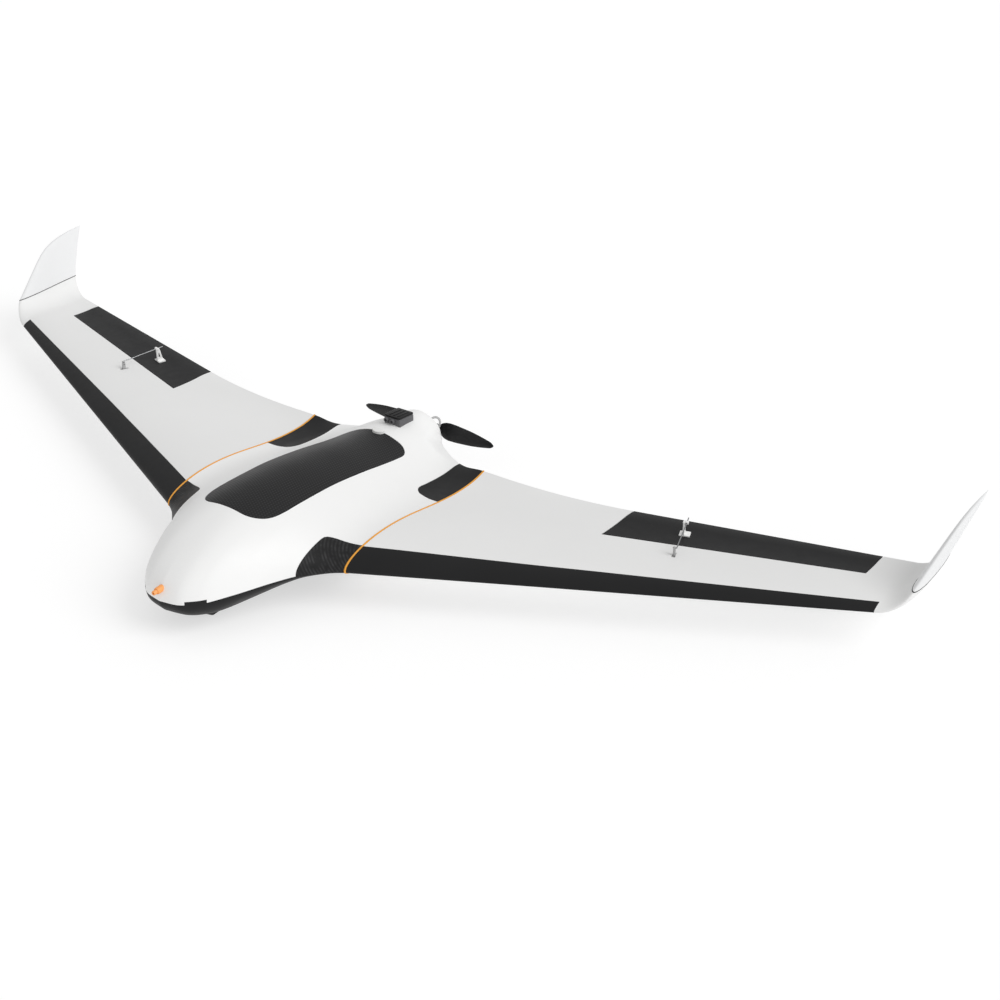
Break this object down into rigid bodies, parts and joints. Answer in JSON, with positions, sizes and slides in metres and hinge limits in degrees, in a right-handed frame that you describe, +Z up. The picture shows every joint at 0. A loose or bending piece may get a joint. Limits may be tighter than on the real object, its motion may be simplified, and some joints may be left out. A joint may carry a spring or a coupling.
{
  "type": "rc flying wing",
  "caption": "Tailless radio-controlled mapping aircraft with swept wings, elevons, upswept winglets, top hatch, belly skids and a folding pusher propeller.",
  "frame": {"origin": "centre of the bounding box at the level of the skids' undersides, on the ground", "axes": "+Z up, the nose points to -Y, +X is the aircraft's own left"},
  "size_m": [2.1252, 0.8929, 0.1998],
  "materials": {
    "body_foam": "satin painted moulded foam",
    "wing_foam": "satin painted moulded foam",
    "black_shell": "satin black moulding",
    "weave": "satin black with a fine raised weave",
    "orange": "satin",
    "nylon": "moulded nylon",
    "steel": "bright drawn wire",
    "aluminium": "machined",
    "carbon": "glossy carbon laminate",
    "rubber": "dull",
    "sleeve": "braided sleeve",
    "plywood": "bare birch plywood",
    "electronics": "moulded case",
    "blue_wrap": "shrink wrap",
    "glass": "coated"
  },
  "bodies": {
    "airframe": {"fuselage_shell": "body_foam", "belly_pan": "black_shell", "shoulder_guard_left": "weave", "shoulder_guard_right": "weave", "root_guard_left": "black_shell", "root_guard_right": "black_shell", "root_seal_left": "orange", "root_seal_right": "orange", "chin_skid": "rubber", "skid_rail_left": "rubber", "skid_rail_right": "rubber", "probe_collar": "orange", "probe_tube": "orange", "wing_panel_left": "wing_foam", "wing_panel_right": "wing_foam", "leading_edge_left": "black_shell", "leading_edge_right": "black_shell", "winglet_left": "body_foam", "winglet_right": "body_foam", "winglet_gasket_left": "rubber", "winglet_gasket_right": "rubber", "hinge_rod_left": "steel", "hinge_rod_right": "steel", "servo_case_left": "nylon", "servo_case_right": "nylon", "main_spar": "carbon", "rear_spar": "carbon", "battery_tray": "plywood", "battery": "blue_wrap", "flight_controller": "electronics", "payload_camera": "electronics", "camera_lens": "electronics", "camera_window": "glass", "speed_controller": "blue_wrap", "sensor_base": "electronics", "sensor_lid": "electronics", "motor_mount": "aluminium", "motor_stator": "aluminium", "motor_lead_sleeve": "sleeve"},
    "hatch": {"hatch_cover": "weave", "hatch_pull_tab": "nylon"},
    "elevon_left": {"elevon_left": "black_shell", "control_horn_left": "nylon"},
    "elevon_right": {"elevon_right": "black_shell", "control_horn_right": "nylon"},
    "servo_arm_left": {"servo_arm_left": "nylon"},
    "servo_arm_right": {"servo_arm_right": "nylon"},
    "pushrod_left": {"pushrod_left": "steel"},
    "pushrod_right": {"pushrod_right": "steel"},
    "rod_swivel_left": {"rod_swivel_left": "nylon"},
    "rod_swivel_right": {"rod_swivel_right": "nylon"},
    "rotor": {"motor_bell": "electronics", "prop_hub": "electronics", "prop_nut": "steel", "blade_pin_left": "steel", "blade_pin_right": "steel"},
    "blade_left": {"prop_blade_left": "carbon"},
    "blade_right": {"prop_blade_right": "carbon"}
  },
  "joints": [
    {"name": "hatch_lift", "type": "hinge", "parent": "airframe", "child": "hatch", "pos_m": [0, -0.2621, 0.1645], "axis": [1, 0, 0], "range_deg": [0, 65]},
    {"name": "elevon_left_hinge", "type": "hinge", "parent": "airframe", "child": "elevon_left", "pos_m": [0.5, 0.1365, 0.0695], "axis": [0.9484, 0.3172, 0.0007], "range_deg": [-20, 20]},
    {"name": "servo_arm_left_turn", "type": "hinge", "parent": "airframe", "child": "servo_arm_left", "pos_m": [0.6402, 0.1398, 0.0723], "axis": [0.9484, 0.3172, 0.0007], "range_deg": [-24, 24]},
    {"name": "pushrod_left_pivot", "type": "hinge", "parent": "servo_arm_left", "child": "pushrod_left", "pos_m": [0.6402, 0.1398, 0.0963], "axis": [0.9484, 0.3172, 0.0007], "range_deg": [-14.5, 14.5]},
    {"name": "rod_swivel_left_turn", "type": "hinge", "parent": "elevon_left", "child": "rod_swivel_left", "pos_m": [0.61517, 0.21463, 0.1014], "axis": [0.9484, 0.3172, 0.0007], "range_deg": [-10.5, 10.5]},
    {"name": "elevon_right_hinge", "type": "hinge", "parent": "airframe", "child": "elevon_right", "pos_m": [-0.5, 0.1365, 0.0695], "axis": [0.9484, -0.3172, -0.0007], "range_deg": [-20, 20]},
    {"name": "servo_arm_right_turn", "type": "hinge", "parent": "airframe", "child": "servo_arm_right", "pos_m": [-0.6402, 0.1398, 0.0723], "axis": [0.9484, -0.3172, -0.0007], "range_deg": [-24, 24]},
    {"name": "pushrod_right_pivot", "type": "hinge", "parent": "servo_arm_right", "child": "pushrod_right", "pos_m": [-0.6402, 0.1398, 0.0963], "axis": [0.9484, -0.3172, -0.0007], "range_deg": [-14.5, 14.5]},
    {"name": "rod_swivel_right_turn", "type": "hinge", "parent": "elevon_right", "child": "rod_swivel_right", "pos_m": [-0.61517, 0.21463, 0.1014], "axis": [0.9484, -0.3172, -0.0007], "range_deg": [-10.5, 10.5]},
    {"name": "motor_spin", "type": "hinge", "parent": "airframe", "child": "rotor", "pos_m": [0, 0.3, 0.065], "axis": [0, 1, 0], "continuous": true},
    {"name": "blade_left_fold", "type": "hinge", "parent": "rotor", "child": "blade_left", "pos_m": [0.02, 0.3131, 0.065], "axis": [0, 0, 1], "range_deg": [0, 85]},
    {"name": "blade_right_fold", "type": "hinge", "parent": "rotor", "child": "blade_right", "pos_m": [-0.02, 0.3131, 0.065], "axis": [0, 0, -1], "range_deg": [0, 85]}
  ],
  "couplings": [
    {"joint": "servo_arm_left_turn", "follows": "elevon_left_hinge", "ratio": 1.1978},
    {"joint": "pushrod_left_pivot", "follows": "elevon_left_hinge", "ratio": -0.7214},
    {"joint": "rod_swivel_left_turn", "follows": "elevon_left_hinge", "ratio": -0.5236},
    {"joint": "servo_arm_right_turn", "follows": "elevon_right_hinge", "ratio": 1.1978},
    {"joint": "pushrod_right_pivot", "follows": "elevon_right_hinge", "ratio": -0.7214},
    {"joint": "rod_swivel_right_turn", "follows": "elevon_right_hinge", "ratio": -0.5236}
  ]
}
